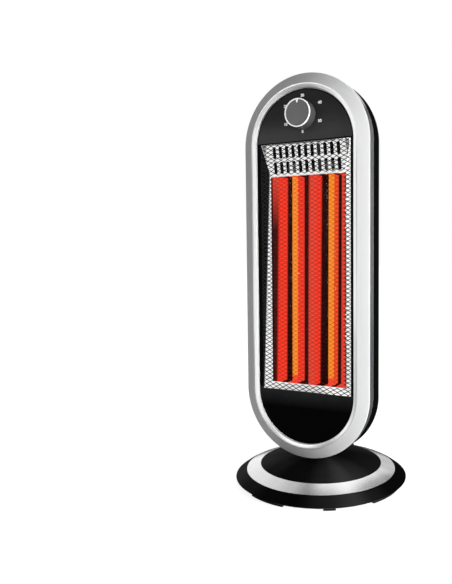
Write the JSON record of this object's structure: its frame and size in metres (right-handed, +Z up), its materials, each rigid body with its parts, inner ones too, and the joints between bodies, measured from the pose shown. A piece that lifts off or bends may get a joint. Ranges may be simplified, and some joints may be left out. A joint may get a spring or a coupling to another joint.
{
  "type": "space heater",
  "caption": "Oscillating tower heater: round-ended tower with a silver ring, a mesh guard over glowing carbon tubes and a knob, on a round dished base.",
  "frame": {"origin": "centre of the round base on the floor, on the swivel axis", "axes": "+Z up, the front with the guard faces -Y, +X to the right of someone who looks at the front"},
  "size_m": [0.2692, 0.2692, 0.62],
  "materials": {
    "silver_paint": "silver metallic paint on moulded plastic, satin",
    "black_gloss": "glossy black moulded plastic",
    "black_matte": "fine-grained black moulded plastic",
    "fascia": null,
    "guard_wire": "expanded steel, dark",
    "polished_sheet": "bright polished sheet",
    "glowing_sheet": "polished sheet lit red by the tubes",
    "quartz": "clear quartz tube lit orange from inside",
    "hot_carbon": "glowing carbon ribbon",
    "ceramic": "unglazed white ceramic",
    "brown_plastic": "brown moulded resin",
    "wire_sleeve": "black wire sleeve",
    "grey_plastic": "grey moulded nylon",
    "plated_steel": "zinc-plated steel",
    "screw_steel": "plated screw",
    "black_steel": "black painted steel",
    "white_nylon": "natural nylon",
    "knob_body": "dark moulded plastic",
    "knob_face": "grey satin disc with a white pointer",
    "bright_chrome": "bright chrome",
    "rubber": "black rubber"
  },
  "bodies": {
    "base": {"base_cover": "black_gloss", "base_ring": "silver_paint", "base_plate": "black_steel", "foot_long_1": "rubber", "foot_long_2": "rubber", "foot_long_3": "rubber", "foot_long_4": "rubber", "foot_short_1": "rubber", "foot_short_2": "rubber", "foot_short_3": "rubber", "foot_short_4": "rubber", "base_screw_1": "screw_steel", "base_screw_2": "screw_steel", "base_screw_3": "screw_steel", "base_screw_4": "screw_steel", "bearing_washer": "white_nylon", "drive_motor": "plated_steel", "tip_switch": "black_matte", "tip_spring": "plated_steel", "cord_inlet": "rubber"},
    "tower": {"bezel_ring": "silver_paint", "front_panel": "black_gloss", "control_fascia": "fascia", "mesh_guard": "guard_wire", "reflector_frame": "polished_sheet", "reflector": "glowing_sheet", "tube_holder_top": "polished_sheet", "tube_holder_bottom": "polished_sheet", "tube_left": "quartz", "tube_right": "quartz", "filament_left": "hot_carbon", "filament_right": "hot_carbon", "tube_cap_left_top": "ceramic", "tube_cap_left_bottom": "ceramic", "tube_cap_right_top": "ceramic", "tube_cap_right_bottom": "ceramic", "thermal_cutout": "brown_plastic", "terminal_block": "ceramic", "wire_loom": "wire_sleeve", "rotary_switch": "black_matte", "rear_casing": "black_matte", "casing_screw_1": "screw_steel", "casing_screw_2": "screw_steel", "casing_screw_3": "screw_steel", "casing_screw_4": "screw_steel", "neck_collar": "black_matte", "swivel_hub": "grey_plastic", "swivel_arm": "plated_steel"},
    "knob": {"knob": "knob_body", "knob_face": "knob_face", "knob_rim": "bright_chrome", "switch_shaft": "plated_steel"},
    "crank": {"drive_crank": "white_nylon"},
    "plunger": {"tip_plunger": "black_matte"}
  },
  "joints": [
    {"name": "swivel", "type": "hinge", "parent": "base", "child": "tower", "pos_m": [0, 0, 0.0412], "axis": [0, 0, 1], "range_deg": [-35, 35]},
    {"name": "knob_turn", "type": "hinge", "parent": "tower", "child": "knob", "pos_m": [0, -0.06, 0.5585], "axis": [0, 1, 0], "range_deg": [-180, 120]},
    {"name": "crank_turn", "type": "hinge", "parent": "base", "child": "crank", "pos_m": [-0.01743, 0, 0.0245], "axis": [0, 0, 1], "range_deg": [-125, 125]},
    {"name": "tip_slide", "type": "slide", "parent": "base", "child": "plunger", "axis": [0, 0, -1], "range_m": [0, 0.004], "stiffness_N_per_m": 300, "springref_m": 0.006, "deforming": ["tip_spring"]}
  ],
  "couplings": [
    {"joint": "crank_turn", "follows": "swivel", "ratio": 3.5714}
  ]
}
